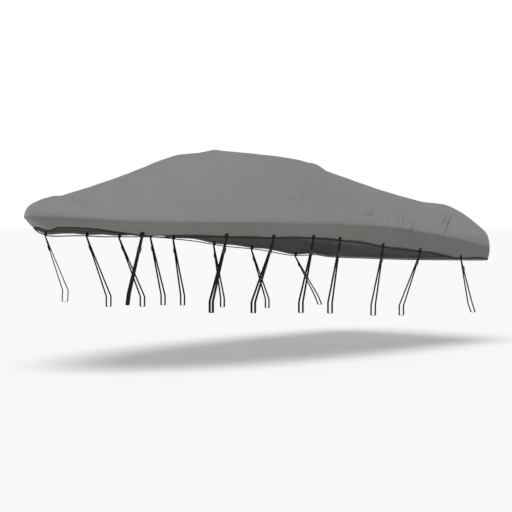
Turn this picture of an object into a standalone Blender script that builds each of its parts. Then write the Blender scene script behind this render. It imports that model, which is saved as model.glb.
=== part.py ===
"""Fitted cover for a trailered runabout, without the boat and the trailer.

A tent-shaped top is seamed at the gunwale to a tucked skirt. A draw rope runs under the skirt's hem
through sixteen webbing tabs, and from each tab hangs a tie-down strap with its buckle, drawn tight
round the place of the trailer's rail.

Stations run aft from the bow tip, reaches run outboard from the centreline, and heights are above
the ground that the trailer stands on, all in metres. In the frame +X is aft, +Y starboard and +Z up,
and the origin is under the peak of the top, where the boat's own support holds the cover up.
"""
import bmesh
import bpy
import numpy as np
from mathutils import Matrix


def table(names, *rows):
    """The columns of a small table by name."""
    return dict(zip(names.split(), np.array(rows, float).T))


# Cloth, rope, webbing and buckles.
CLOTH = 0.003
HEM_CLOTH = 0.005
HEM_DEPTH = 0.028
SEAM_GAP = 0.0004
ROPE_RADIUS = 0.0055
ROPE_SIDES = 6
WEBBING = 0.0016
TAB_WIDTH = 0.038
TAB_LAP = 0.026
TAB_BENDS = 8
STRAP_WIDTH = 0.025
STRAP_LAP = 0.023
LAP_NOTCH = 0.001
BUCKLE_WIDTH = 0.037
BUCKLE_LENGTH = 0.050
BUCKLE_THICKNESS = 0.010
BUCKLE_NOSE = 0.008
BUCKLE_TAPER = 0.0015
BUCKLE_CHAMFER = 0.002
SLOT_CHAMFER = 0.0003
FIT = 0.0006
ROPE_FIT = 0.0009

# The gunwale seam, from the bow's centre round one side to the transom's centre, with the height of
# the hem under it and how far the hem tucks in.
GUNWALE = table(
    "station reach height hem tuck",
    (0.000, 0.000, 1.376, 1.256, 0.200),
    (0.030, 0.095, 1.374, 1.268, 0.165),
    (0.100, 0.210, 1.370, 1.284, 0.120),
    (0.250, 0.382, 1.360, 1.278, 0.072),
    (0.540, 0.603, 1.342, 1.247, 0.054),
    (0.880, 0.772, 1.333, 1.216, 0.036),
    (1.280, 0.918, 1.330, 1.218, 0.034),
    (1.780, 1.030, 1.327, 1.204, 0.032),
    (2.380, 1.112, 1.320, 1.200, 0.030),
    (3.050, 1.160, 1.307, 1.157, 0.030),
    (3.700, 1.178, 1.276, 1.083, 0.030),
    (4.200, 1.182, 1.224, 1.044, 0.032),
    (4.800, 1.178, 1.158, 0.968, 0.034),
    (5.200, 1.174, 1.096, 0.955, 0.026),
    (5.380, 1.170, 1.066, 0.936, 0.020),
    (5.445, 1.125, 1.058, 0.924, 0.020),
    (5.462, 0.600, 1.055, 0.915, 0.022),
    (5.466, 0.000, 1.055, 0.910, 0.022),
)
SQUARE_STATION = 5.20

# The ridge of the top along the centreline.
RIDGE = table(
    "station height",
    (0.00, 1.417),
    (0.03, 1.456),
    (0.07, 1.497),
    (0.15, 1.522),
    (0.27, 1.552),
    (0.39, 1.554),
    (0.50, 1.586),
    (0.95, 1.711),
    (1.45, 1.868),
    (1.80, 1.969),
    (1.88, 1.976),
    (2.14, 2.009),
    (2.22, 2.025),
    (2.28, 2.033),
    (2.35, 2.028),
    (2.70, 2.011),
    (3.00, 1.987),
    (3.10, 1.970),
    (3.17, 1.968),
    (3.27, 1.915),
    (3.34, 1.899),
    (3.80, 1.803),
    (4.30, 1.707),
    (4.75, 1.646),
    (5.10, 1.599),
    (5.47, 1.577),
)

# The section across the boat: the knee, where the tent slope meets the crown, and the slope's foot,
# above the gunwale. A part is of the reach, and a level is of the rise from gunwale to ridge.
SECTION = table(
    "station knee_part knee_level foot_level",
    (0.00, 0.45, 0.88, 0.45),
    (0.40, 0.43, 0.845, 0.30),
    (0.85, 0.425, 0.833, 0.14),
    (1.40, 0.38, 0.824, 0.05),
    (2.00, 0.468, 0.867, 0.03),
    (2.60, 0.525, 0.904, 0.03),
    (3.60, 0.511, 0.911, 0.03),
    (4.20, 0.541, 0.885, 0.05),
    (4.90, 0.547, 0.867, 0.14),
    (5.41, 0.55, 0.891, 0.23),
)
KNEE_ROUNDING = 0.08

# The cloth's grid: the step between its columns up to each distance along the seam, the two poles
# where its columns fan out at bow and stern, and where its rings lie from hem to ridge.
COLUMNS = table(
    "until step",
    (0.80, 0.062),
    (4.30, 0.110),
    (5.60, 0.072),
    (6.00, 0.045),
    (9.00, 0.125),
)
BOW_POLE = 0.50
STERN_POLE = 4.85
SKIRT_MIDDLE = 0.55
SKIRT_BULGE = 0.006
SHOULDER_INSET = 0.055
SHOULDER_ROUNDING = 0.72
WALL_PARTS = (0.40, 0.75)
CROWN_PARTS = (0.00, 0.11, 0.24, 0.38, 0.52, 0.66, 0.80, 0.91, 1.00)
GUNWALE_RING = 3
SLOPE_STEP = 0.02

# Folds between two places given by station and height on one side, where port is -1 and starboard
# is 1. A positive depth is a trough and a negative one a ridge, each of the given half width. They
# stop short of the centreline.
FOLDS = table(
    "side station_a height_a station_b height_b depth half_width",
    (-1, 4.40, 1.182, 5.00, 1.395, -0.012, 0.055),
    (-1, 4.56, 1.180, 5.08, 1.365, 0.009, 0.055),
    (-1, 4.34, 1.235, 4.98, 1.445, 0.006, 0.055),
    (-1, 4.92, 1.130, 5.01, 1.225, 0.007, 0.060),
    (-1, 3.76, 1.213, 4.05, 1.335, -0.008, 0.055),
    (-1, 3.62, 1.300, 3.86, 1.385, 0.006, 0.060),
    (-1, 3.24, 1.400, 3.48, 1.435, 0.008, 0.060),
    (-1, 2.36, 1.470, 2.52, 1.640, 0.005, 0.080),
    (1, 4.22, 1.215, 4.78, 1.440, -0.010, 0.060),
    (1, 4.36, 1.190, 4.88, 1.390, 0.009, 0.060),
    (1, 4.98, 1.120, 5.06, 1.240, 0.007, 0.060),
    (1, 3.34, 1.310, 3.66, 1.420, 0.007, 0.070),
    (1, 1.98, 1.440, 2.12, 1.640, 0.006, 0.090),
)
FOLD_INNER_REACH = 0.1

# The tie-downs of one side: the station of each tab, how far inboard of it the rail's outer face
# lies, the height of the rail's top, and how far aft of the tab the loop meets the rail. A tab sits
# on a flat facet of the hem, of which TAB_FACET is half the length, and the grid's other columns
# stay TAB_CLEARANCE away from its middle.
TIE_DOWNS = table(
    "station rail_in rail_top aft",
    (0.692, 0.190, 0.705, -0.065),
    (1.445, 0.225, 0.612, 0.00),
    (1.963, 0.265, 0.588, 0.00),
    (2.460, 0.140, 0.575, 0.00),
    (2.821, 0.100, 0.555, 0.00),
    (3.474, 0.095, 0.505, 0.00),
    (4.101, 0.205, 0.470, 0.00),
    (4.864, 0.050, 0.455, 0.30),
)
RAIL_WIDTH = 0.050
RAIL_HEIGHT = 0.100
RAIL_ROUNDING = 0.008
TAB_FACET = 0.032
TAB_CLEARANCE = 0.054
HEM_PULL = 0.012
HEM_PULL_WIDTH = 0.16
ROPE_UNDER_HEM = 0.011
ROPE_AGAINST_HEM = 0.0066
ROPE_CLOSING = 0.40
BUCKLE_UNDER_HEM = 0.115

MERGE_DISTANCE = 1e-6
SHARP_ANGLE = 0.7

ORIGIN_STATION = 2.28
ORIGIN_HEIGHT = 2.033 - CLOTH
PORT = -1.0
STARBOARD = 1.0

GREY_CLOTH = ("grey_cloth", (0.235, 0.235, 0.228), 0.85)
BLACK_WEBBING = ("black_webbing", (0.012, 0.012, 0.013), 0.75)
BLACK_ROPE = ("black_rope", (0.015, 0.015, 0.016), 0.80)
BLACK_PLASTIC = ("black_plastic", (0.010, 0.010, 0.011), 0.40)


def smooth(at, keys, values, level_ends=False):
    """Monotone cubic curve through a table's rows, read at one or many places."""
    steps = np.diff(keys)
    slopes = np.diff(values) / steps
    tangents = np.zeros(len(keys))
    for i in range(1, len(keys) - 1):
        if slopes[i - 1] * slopes[i] > 0.0:
            before = 2.0 * steps[i] + steps[i - 1]
            after = steps[i] + 2.0 * steps[i - 1]
            tangents[i] = (before + after) / (before / slopes[i - 1] + after / slopes[i])
    if not level_ends:
        tangents[0] = slopes[0]
        tangents[-1] = slopes[-1]
    at = np.clip(at, keys[0], keys[-1])
    i = np.clip(np.searchsorted(keys, at) - 1, 0, len(keys) - 2)
    part = (at - keys[i]) / steps[i]
    rest = 1.0 - part
    start = rest**2 * ((1.0 + 2.0 * part) * values[i] + part * steps[i] * tangents[i])
    end = part**2 * ((1.0 + 2.0 * rest) * values[i + 1] - rest * steps[i] * tangents[i + 1])
    return start + end


def unit(vectors):
    """Vectors scaled to length one."""
    return vectors / np.linalg.norm(vectors, axis=-1, keepdims=True)


# ---------------------------------------------------------------------------------------- objects

def make_material(name, colour, roughness):
    """A plain material of the piece's own colour."""
    material = bpy.data.materials.get(name)
    if material is None:
        material = bpy.data.materials.new(name)
        material.use_nodes = True
        shader = material.node_tree.nodes["Principled BSDF"]
        shader.inputs["Base Color"].default_value = (*colour, 1.0)
        shader.inputs["Roughness"].default_value = roughness
        shader.inputs["Metallic"].default_value = 0.0
    return material


def make_mesh(name, vertices, faces, finish):
    """A closed mesh with its faces pointing out and its coinciding points joined."""
    mesh = bpy.data.meshes.new(name)
    mesh.from_pydata([tuple(vertex) for vertex in vertices], [], faces)
    shape = bmesh.new()
    shape.from_mesh(mesh)
    bmesh.ops.remove_doubles(shape, verts=shape.verts, dist=MERGE_DISTANCE)
    bmesh.ops.recalc_face_normals(shape, faces=shape.faces)
    shape.to_mesh(mesh)
    shape.free()
    mesh.materials.append(make_material(*finish))
    mesh.shade_smooth()
    mesh.set_sharp_from_angle(angle=SHARP_ANGLE)
    return mesh


def place(name, mesh, cover, place_point, axes=np.eye(3)):
    """An object of its own at a point of the frame, turned to the given axes."""
    piece = bpy.data.objects.new(name, mesh)
    bpy.context.scene.collection.objects.link(piece)
    piece.parent = cover
    piece.matrix_local = Matrix.Translation(place_point) @ Matrix(axes.T.tolist()).to_4x4()
    return piece


# ------------------------------------------------------------------------------------------ cloth

def column_places():
    """Distances along the seam of the table's rows, of the tabs and of the grid's columns."""
    steps = np.hypot(np.diff(GUNWALE["station"]), np.diff(GUNWALE["reach"]))
    rows = np.concatenate(([0.0], np.cumsum(steps)))
    tabs = smooth(TIE_DOWNS["station"], GUNWALE["station"], rows)
    places = [0.0]
    for until, step in zip(COLUMNS["until"], COLUMNS["step"]):
        end = min(until, rows[-1])
        count = round((end - places[-1]) / step)
        places.extend(np.linspace(places[-1], end, count + 1)[1:])
    places = [place for place in places if np.abs(tabs - place).min() > TAB_CLEARANCE]
    places.extend(tabs - TAB_FACET)
    places.extend(tabs + TAB_FACET)
    return rows, tabs, np.array(sorted(places))


def ridge_height(station):
    """Height of the ridge at a station."""
    return smooth(station, RIDGE["station"], RIDGE["height"])


def top_height(station, reach):
    """Height of the top over a point of the plan."""
    edge = smooth(min(station, SQUARE_STATION), GUNWALE["station"], GUNWALE["reach"])
    low = smooth(station, GUNWALE["station"], GUNWALE["height"])
    knee, knee_level, foot_level = (
        smooth(station, SECTION["station"], SECTION[name])
        for name in ("knee_part", "knee_level", "foot_level")
    )
    parts = np.array((0.0, knee - KNEE_ROUNDING, knee + KNEE_ROUNDING, 1.0))
    levels = np.interp(parts, (0.0, knee, 1.0), (1.0, knee_level, foot_level))
    rise = ridge_height(station) - low
    return low + rise * smooth(reach / max(edge, 0.001), parts, levels)


def column_points(station, reach, height, hem, tuck):
    """One column of the starboard side's grid, from the hem up to the ridge."""
    seam = np.array((station, reach, height))
    spine = np.array((np.clip(station, BOW_POLE, STERN_POLE), 0.0, height))
    inward = unit(spine - seam)
    hem_point = seam + inward * tuck
    hem_point[2] = hem
    rise = seam - hem_point
    hem_top = hem_point + unit(rise) * HEM_DEPTH
    middle = hem_point + rise * SKIRT_MIDDLE - inward * SKIRT_BULGE
    points = [hem_point, hem_top, middle, seam]

    shoulder = seam + inward * SHOULDER_INSET
    shoulder[2] = top_height(shoulder[0], shoulder[1])
    corner = np.array((station, reach, height + SHOULDER_ROUNDING * (shoulder[2] - height)))
    for part in WALL_PARTS:
        rest = 1.0 - part
        points.append(rest**2 * seam + 2.0 * part * rest * corner + part**2 * shoulder)
    for part in CROWN_PARTS:
        point = shoulder + (spine - shoulder) * part
        point[2] = top_height(point[0], point[1])
        points.append(point)
    return points


def grid_normals(grid):
    """Outward normals of a grid of rings whose columns close round the boat."""
    across = np.roll(grid, -1, axis=1) - np.roll(grid, 1, axis=1)
    upward = np.empty_like(grid)
    upward[1:-1] = grid[2:] - grid[:-2]
    upward[0] = grid[1] - grid[0]
    normals = np.cross(across, upward)
    stations = grid[-1, :, 0]
    rise = ridge_height(stations + SLOPE_STEP) - ridge_height(stations - SLOPE_STEP)
    slope = rise / (2.0 * SLOPE_STEP)
    normals[-1] = np.stack((-slope, np.zeros_like(slope), np.ones_like(slope)), axis=-1)
    return unit(normals)


def fold_depths(grid):
    """How far the folds push each point of the grid inward."""
    depths = np.zeros(grid.shape[:2])
    for side, station_a, height_a, station_b, height_b, depth, half_width in zip(*FOLDS.values()):
        start = np.array((station_a, height_a))
        run = np.array((station_b, height_b)) - start
        offset = grid[:, :, (0, 2)] - start
        part = np.clip(offset @ run / (run @ run), 0.0, 1.0)
        away = np.linalg.norm(offset - part[..., None] * run, axis=-1)
        on_side = grid[:, :, 1] * side > FOLD_INNER_REACH
        depths += on_side * depth * np.exp(-((away / half_width) ** 2))
    return depths


def cover_grid():
    """Outer and inner points of the cloth by ring and column, and the rope's drop at each column."""
    rows, tabs, places = column_places()
    read = {name: smooth(places, rows, GUNWALE[name], name != "reach") for name in GUNWALE}
    away = np.abs(places[:, None] - tabs).min(axis=1)
    pull = HEM_PULL * np.exp(-((np.maximum(away - TAB_FACET, 0.0) / HEM_PULL_WIDTH) ** 2))
    read["hem"] = read["hem"] - pull
    beyond = np.maximum(tabs[0] - places, places - tabs[-1]) - TAB_CLEARANCE
    near = np.clip(beyond / ROPE_CLOSING, 0.0, 1.0)
    drop = ROPE_UNDER_HEM + HEM_PULL - pull
    drop += (ROPE_AGAINST_HEM - drop) * near**2 * (3.0 - 2.0 * near)
    columns = [column_points(*row) for row in zip(*read.values())]
    starboard = np.array(columns).transpose(1, 0, 2)
    port = starboard * (1.0, -1.0, 1.0)
    grid = np.concatenate((port, starboard[:, -2:0:-1]), axis=1)
    grid = grid - grid_normals(grid) * fold_depths(grid)[..., None]
    thickness = np.full((len(grid), 1, 1), CLOTH)
    thickness[:2] = HEM_CLOTH
    inner = grid - grid_normals(grid) * thickness
    origin = np.array((ORIGIN_STATION, 0.0, ORIGIN_HEIGHT))
    tab_columns = np.searchsorted(places, tabs) - 1
    return grid - origin, inner - origin, tab_columns, np.concatenate((drop, drop[-2:0:-1]))


def sheet_faces(rings, columns, open_above):
    """Triangles of a sheet: its outer and inner skins, its lower edge and its upper one if open."""
    size = rings * columns
    faces = []
    for a in range(columns):
        b = (a + 1) % columns
        for ring in range(rings - 1):
            low = ring * columns
            high = low + columns
            for i, j, k in ((low + a, low + b, high + b), (low + a, high + b, high + a)):
                faces.append((i, j, k))
                faces.append((i + size, k + size, j + size))
        faces.append((a, a + size, b + size))
        faces.append((a, b + size, b))
        if open_above:
            high_a, high_b = size - columns + a, size - columns + b
            faces.append((high_a, high_b + size, high_a + size))
            faces.append((high_a, high_b, high_b + size))
    return faces


def make_panel(name, outer, inner, open_above, cover):
    """A sheet of cloth between its outer and inner points."""
    vertices = np.concatenate((outer.reshape(-1, 3), inner.reshape(-1, 3)))
    mesh = make_mesh(name, vertices, sheet_faces(*outer.shape[:2], open_above), GREY_CLOTH)
    return place(name, mesh, cover, (0.0, 0.0, 0.0))


# ------------------------------------------------------------------------------- rope and webbing

def tube_faces(stations, sides, closed):
    """Faces of a tube of many stations, which closes on itself or has a cap at each end."""
    faces = []
    for here in range(stations if closed else stations - 1):
        there = (here + 1) % stations
        for a in range(sides):
            b = (a + 1) % sides
            faces.append((here * sides + a, here * sides + b, there * sides + b, there * sides + a))
    if not closed:
        faces.append(tuple(range(sides)))
        faces.append(tuple(range((stations - 1) * sides, stations * sides)))
    return faces


def band_points(path, across, width, closed):
    """Corner points of webbing along a path, with its width lying along the given directions."""
    before = np.roll(path, 1, axis=0)
    after = np.roll(path, -1, axis=0)
    if not closed:
        before[0] = 2.0 * path[0] - path[1]
        after[-1] = 2.0 * path[-1] - path[-2]
    turn = unit(path - before) + unit(after - path)
    out = unit(np.cross(across, turn)) * WEBBING / np.linalg.norm(turn, axis=-1, keepdims=True)
    half = across * width / 2.0
    four = (path + out + half, path + out - half, path - out - half, path - out + half)
    return np.stack(four, axis=1).reshape(-1, 3)


def tab_frame(outer, bow_column, aft_column, side):
    """The middle of a tab's facet at the hem, and its along, outward and up directions."""
    low = outer[0, (bow_column, aft_column)]
    high = outer[1, (bow_column, aft_column)]
    along = unit(low[1] - low[0]) * side
    up = high.mean(axis=0) - low.mean(axis=0)
    up = unit(up - along * (up @ along))
    return low.mean(axis=0), np.array((along, np.cross(up, along), up))


def bulb_radius():
    """Middle radius of a tab's bend round the rope."""
    return ROPE_RADIUS + ROPE_FIT + WEBBING / 2.0


def make_tab_mesh():
    """A strip of webbing that clasps the hem on both faces and bends round the rope under it."""
    leg = HEM_CLOTH / 2.0 + FIT + WEBBING / 2.0
    radius = bulb_radius()
    start = np.arcsin(leg / radius)
    angles = np.linspace(start, 2.0 * np.pi - start, TAB_BENDS)
    bend = np.stack((np.zeros(TAB_BENDS), radius * np.sin(angles), radius * np.cos(angles)), axis=-1)
    bend[:, 2] -= ROPE_UNDER_HEM
    path = np.concatenate(([(0.0, leg, TAB_LAP)], bend, [(0.0, -leg, TAB_LAP)]))
    path[:, 1] -= HEM_CLOTH / 2.0
    across = np.tile((1.0, 0.0, 0.0), (len(path), 1))
    vertices = band_points(path, across, TAB_WIDTH, closed=False)
    return make_mesh("tab", vertices, tube_faces(len(path), 4, closed=False), BLACK_WEBBING)


def strap_path(hem, axes, side, rail_in, rail_top, aft):
    """Middle line of a tie-down's closed loop, the direction of its width, and its buckle's frame."""
    along, outward, up = axes
    level = unit(along * (1.0, 1.0, 0.0))
    outboard = np.cross((0.0, 0.0, 1.0), level)
    top = rail_top - ORIGIN_HEIGHT

    def by_hem(out, drop):
        return hem + outward * out - up * drop

    def by_rail(inboard, height):
        slant = level * side * aft * (hem[2] - height) / (hem[2] - top)
        point = hem - outboard * inboard + slant
        point[2] = height
        return point

    apart = WEBBING + LAP_NOTCH
    face = WEBBING + FIT + WEBBING / 2.0 + FIT
    bulb = bulb_radius() + WEBBING + FIT - HEM_CLOTH / 2.0
    low = ROPE_UNDER_HEM + bulb_radius() + 2.0 * WEBBING
    near = rail_in - WEBBING
    far = rail_in + RAIL_WIDTH + WEBBING
    base = top - RAIL_HEIGHT - WEBBING
    soft = RAIL_ROUNDING
    upper_part = [
        by_hem(face, -STRAP_LAP),
        by_hem(face + apart, -STRAP_LAP),
        by_hem(bulb + apart, ROPE_UNDER_HEM),
        by_hem(bulb + apart, low),
    ]
    rail_part = [
        by_rail(near, top),
        by_rail(near, base + soft),
        by_rail(near + soft, base),
        by_rail(far - soft, base),
        by_rail(far, base + soft),
        by_rail(far, top),
    ]
    path = np.array(upper_part + rail_part + [by_hem(bulb, low), by_hem(bulb, ROPE_UNDER_HEM)])
    across = np.array([along] * 4 + [level] * 6 + [along] * 2)

    strand = path[4] - path[3]
    reach = BUCKLE_UNDER_HEM / np.linalg.norm(strand)
    down = unit(strand)
    width = unit(along + (level - along) * reach)
    width = unit(width - down * (width @ down))
    buckle_axes = np.array((width, np.cross(down, width), down))
    return path, across, path[3] + strand * reach, buckle_axes


def rectangle(half_width, half_thickness, chamfer):
    """Eight points of a flat rectangle with cut corners."""
    a, b = half_width, half_thickness
    c, d = a - chamfer, b - chamfer
    return [(a, -d), (a, d), (c, b), (-c, b), (-a, d), (-a, -d), (-c, -b), (c, -b)]


def make_buckle_mesh():
    """A buckle body with a through slot for the strap and a thinner nose at each end."""
    half = BUCKLE_LENGTH / 2.0
    wide = (BUCKLE_WIDTH / 2.0, BUCKLE_THICKNESS / 2.0, BUCKLE_CHAMFER)
    nose = (wide[0] - BUCKLE_TAPER, wide[1] - BUCKLE_TAPER, BUCKLE_CHAMFER)
    slot = (STRAP_WIDTH / 2.0 + FIT, WEBBING / 2.0 + FIT, SLOT_CHAMFER)
    loops = (
        (nose, -half),
        (wide, BUCKLE_NOSE - half),
        (wide, half - BUCKLE_NOSE),
        (nose, half),
        (slot, half),
        (slot, -half),
    )
    vertices = [(x, y, height) for sizes, height in loops for x, y in rectangle(*sizes)]
    return make_mesh("buckle", vertices, tube_faces(len(loops), 8, closed=True), BLACK_PLASTIC)


def make_rope(outer, facets, drop, cover):
    """The draw rope: straight from tab to tab, and against the hem round the bow and the transom."""
    normals = grid_normals(outer)[0]
    up = unit(outer[1] - outer[0])
    middle = outer[0] - normals * HEM_CLOTH / 2.0 - up * drop[:, None]
    for columns, axes in facets:
        for column in columns:
            normals[column] = axes[1]
            up[column] = axes[2]
            middle[column] = outer[0, column] - axes[1] * HEM_CLOTH / 2.0 - axes[2] * ROPE_UNDER_HEM
    angles = np.arange(ROPE_SIDES) * 2.0 * np.pi / ROPE_SIDES
    points = [
        middle + ROPE_RADIUS * (np.cos(angle) * normals + np.sin(angle) * up)
        for angle in angles
    ]
    vertices = np.stack(points, axis=1).reshape(-1, 3)
    mesh = make_mesh("hem_rope", vertices, tube_faces(len(middle), ROPE_SIDES, closed=True), BLACK_ROPE)
    return place("hem_rope", mesh, cover, (0.0, 0.0, 0.0))


def make_tie_down(name, number, frame, side, meshes, cover):
    """A tab, its strap loop and the buckle on the strap's outer strand."""
    hem, axes = frame
    tab_mesh, buckle_mesh = meshes
    sizes = (TIE_DOWNS[column][number] for column in ("rail_in", "rail_top", "aft"))
    path, across, buckle_place, buckle_axes = strap_path(hem, axes, side, *sizes)
    strap_name = f"{name}_strap_{number + 1}"
    vertices = band_points(path - hem, across, STRAP_WIDTH, closed=True)
    strap_mesh = make_mesh(strap_name, vertices, tube_faces(len(path), 4, closed=True), BLACK_WEBBING)
    place(f"{name}_tab_{number + 1}", tab_mesh, cover, hem, axes)
    place(strap_name, strap_mesh, cover, hem)
    place(f"{name}_buckle_{number + 1}", buckle_mesh, cover, buckle_place, buckle_axes)


def main():
    """The whole cover."""
    for old in list(bpy.data.objects):
        bpy.data.objects.remove(old, do_unlink=True)
    cover = bpy.data.objects.new("boat_cover", None)
    bpy.context.scene.collection.objects.link(cover)

    outer, inner, tab_columns, drop = cover_grid()
    gap = np.array((0.0, 0.0, SEAM_GAP))
    skirt_outer = outer[: GUNWALE_RING + 1].copy()
    skirt_inner = inner[: GUNWALE_RING + 1].copy()
    skirt_outer[GUNWALE_RING] -= gap
    skirt_inner[GUNWALE_RING] -= gap
    make_panel("top_panel", outer[GUNWALE_RING:], inner[GUNWALE_RING:], False, cover)
    make_panel("skirt_panel", skirt_outer, skirt_inner, True, cover)

    count = outer.shape[1]
    meshes = (make_tab_mesh(), make_buckle_mesh())
    facets = []
    for number, column in enumerate(tab_columns):
        for name, side in (("port", PORT), ("starboard", STARBOARD)):
            bow_column, aft_column = column, column + 1
            if side == STARBOARD:
                bow_column, aft_column = count - bow_column, count - aft_column
            frame = tab_frame(outer, bow_column, aft_column, side)
            facets.append(((bow_column, aft_column), frame[1]))
            make_tie_down(name, number, frame, side, meshes, cover)
    make_rope(outer, facets, drop, cover)


main()
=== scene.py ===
"""The looks of the boat cover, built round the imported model.

All lengths are in metres. Stations run aft from the bow tip, reaches run outboard from the centreline
and heights are above the ground. In the model's frame +X is aft, +Y starboard and +Z up, and the
origin is under the peak of the top.
"""

import bmesh
import bpy
import numpy as np
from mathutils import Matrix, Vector

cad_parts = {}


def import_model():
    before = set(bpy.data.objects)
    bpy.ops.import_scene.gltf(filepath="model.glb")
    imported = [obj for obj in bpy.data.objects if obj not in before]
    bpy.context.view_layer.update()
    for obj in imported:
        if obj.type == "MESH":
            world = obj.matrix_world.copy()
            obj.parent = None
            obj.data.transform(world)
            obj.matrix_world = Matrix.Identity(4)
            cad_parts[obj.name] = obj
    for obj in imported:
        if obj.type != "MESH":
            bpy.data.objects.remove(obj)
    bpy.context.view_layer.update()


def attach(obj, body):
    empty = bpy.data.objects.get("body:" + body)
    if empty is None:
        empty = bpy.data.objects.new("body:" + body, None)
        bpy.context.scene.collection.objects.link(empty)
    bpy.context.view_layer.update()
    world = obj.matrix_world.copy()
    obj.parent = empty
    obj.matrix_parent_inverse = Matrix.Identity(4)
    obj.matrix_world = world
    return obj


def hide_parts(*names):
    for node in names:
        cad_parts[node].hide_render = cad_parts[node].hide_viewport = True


def table(names, *rows):
    """The columns of a small table by name."""
    return dict(zip(names.split(), np.array(rows, float).T))


# ---- the cover's sizes

CLOTH = 0.003
HEM_CLOTH = 0.005
HEM_DEPTH = 0.028
ROPE_RADIUS = 0.0055
WEBBING = 0.0016
TAB_WIDTH = 0.038
TAB_LAP = 0.026
STRAP_WIDTH = 0.025
STRAP_LAP = 0.023
LAP_NOTCH = 0.001
FIT = 0.0006
ROPE_FIT = 0.0009

# The gunwale seam from the bow's centre round to the transom's centre, the hem under it and its tuck.
GUNWALE = table(
    "station reach height hem tuck",
    (0.000, 0.000, 1.376, 1.256, 0.200),
    (0.030, 0.095, 1.374, 1.268, 0.165),
    (0.100, 0.210, 1.370, 1.284, 0.120),
    (0.250, 0.382, 1.360, 1.278, 0.072),
    (0.540, 0.603, 1.342, 1.247, 0.054),
    (0.880, 0.772, 1.333, 1.216, 0.036),
    (1.280, 0.918, 1.330, 1.218, 0.034),
    (1.780, 1.030, 1.327, 1.204, 0.032),
    (2.380, 1.112, 1.320, 1.200, 0.030),
    (3.050, 1.160, 1.307, 1.157, 0.030),
    (3.700, 1.178, 1.276, 1.083, 0.030),
    (4.200, 1.182, 1.224, 1.044, 0.032),
    (4.800, 1.178, 1.158, 0.968, 0.034),
    (5.200, 1.174, 1.096, 0.955, 0.026),
    (5.380, 1.170, 1.066, 0.936, 0.020),
    (5.445, 1.125, 1.058, 0.924, 0.020),
    (5.462, 0.600, 1.055, 0.915, 0.022),
    (5.466, 0.000, 1.055, 0.910, 0.022),
)
SQUARE_STATION = 5.20

RIDGE = table(
    "station height",
    (0.00, 1.417), (0.03, 1.456), (0.07, 1.497), (0.15, 1.522), (0.27, 1.552),
    (0.39, 1.554), (0.50, 1.586), (0.95, 1.711), (1.45, 1.868), (1.80, 1.969),
    (1.88, 1.976), (2.14, 2.009), (2.22, 2.025), (2.28, 2.033), (2.35, 2.028),
    (2.70, 2.011), (3.00, 1.987), (3.10, 1.970), (3.17, 1.968), (3.27, 1.915),
    (3.34, 1.899), (3.80, 1.803), (4.30, 1.707), (4.75, 1.646), (5.10, 1.599),
    (5.47, 1.577),
)

# The section: its knee and the slope's foot, as parts of the reach and of the rise.
SECTION = table(
    "station knee_part knee_level foot_level",
    (0.00, 0.45, 0.88, 0.45),
    (0.40, 0.43, 0.845, 0.30),
    (0.85, 0.425, 0.833, 0.14),
    (1.40, 0.38, 0.824, 0.05),
    (2.00, 0.468, 0.867, 0.03),
    (2.60, 0.525, 0.904, 0.03),
    (3.60, 0.511, 0.911, 0.03),
    (4.20, 0.541, 0.885, 0.05),
    (4.90, 0.547, 0.867, 0.14),
    (5.41, 0.55, 0.891, 0.23),
)
KNEE_ROUNDING = 0.08
BOW_POLE = 0.50
STERN_POLE = 4.85
SKIRT_BULGE = 0.006
SHOULDER_INSET = 0.055
# How high above the seam the shoulder's curve is drawn, as a part of its rise.
SHOULDER = table(
    "station rounding",
    (0.05, 0.72),
    (0.40, 0.36),
    (1.00, 0.30),
    (4.20, 0.30),
    (4.90, 0.72),
)

TIE_DOWNS = table(
    "station rail_in rail_top aft",
    (0.692, 0.190, 0.705, -0.065),
    (1.445, 0.225, 0.612, 0.00),
    (1.963, 0.265, 0.588, 0.00),
    (2.460, 0.140, 0.575, 0.00),
    (2.821, 0.100, 0.555, 0.00),
    (3.474, 0.095, 0.505, 0.00),
    (4.101, 0.205, 0.470, 0.00),
    (4.864, 0.050, 0.455, 0.30),
)
RAIL_WIDTH = 0.050
RAIL_HEIGHT = 0.100
RAIL_ROUNDING = 0.008
TAB_FACET = 0.032
HEM_PULL = 0.012
HEM_PULL_WIDTH = 0.16
ROPE_UNDER_HEM = 0.011
ROPE_AGAINST_HEM = 0.0066
ROPE_CLOSING = 0.40
TAB_CLEARANCE = 0.054
BUCKLE_UNDER_HEM = 0.115

ORIGIN_STATION = 2.28
ORIGIN_HEIGHT = 2.033 - CLOTH
SIDES = (("port", -1.0), ("starboard", 1.0))
GROUND = -ORIGIN_HEIGHT

# The fine cloth: how far apart its columns stand up to each station, and how many rings it has.
COLUMN_STEPS = table(
    "until step",
    (0.90, 0.022),
    (3.15, 0.040),
    (5.15, 0.0125),
    (9.99, 0.014),
)
FACET_CLEARANCE = 0.004
SAME_PLACE = 1e-6
NO_LENGTH = 1e-12
LEAST_REACH = 0.001
WALL_RINGS = 16
SLOPE_RINGS = 80
CROWN_RINGS = 26
SLOPE_PART = 0.40
SKIRT_RINGS = 14

# The top's edge laps over the skirt: its rings by how far below the seam and off the skirt they are.
LAP = 0.012
LAP_LIFT = 0.0013
LAP_RINGS = ((LAP, 0.0003), (LAP, LAP_LIFT), (LAP * 0.5, LAP_LIFT * 1.1), (0.001, LAP_LIFT))
SWELL_FADE = 0.05

# The turned hem: where the cloth's rings end above it, its round edge in half turns, and its rings
# up inside by their rise, as a part of the hem's depth, and their inset, as one of its thickness.
SKIRT_FOOT = 0.03
HEM_EDGE = (0.15, 0.85, 5)
HEM_INSIDE = ((0.35, 1.0), (0.92, 1.0), (1.0, 0.85), (1.0, 0.15))

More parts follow.
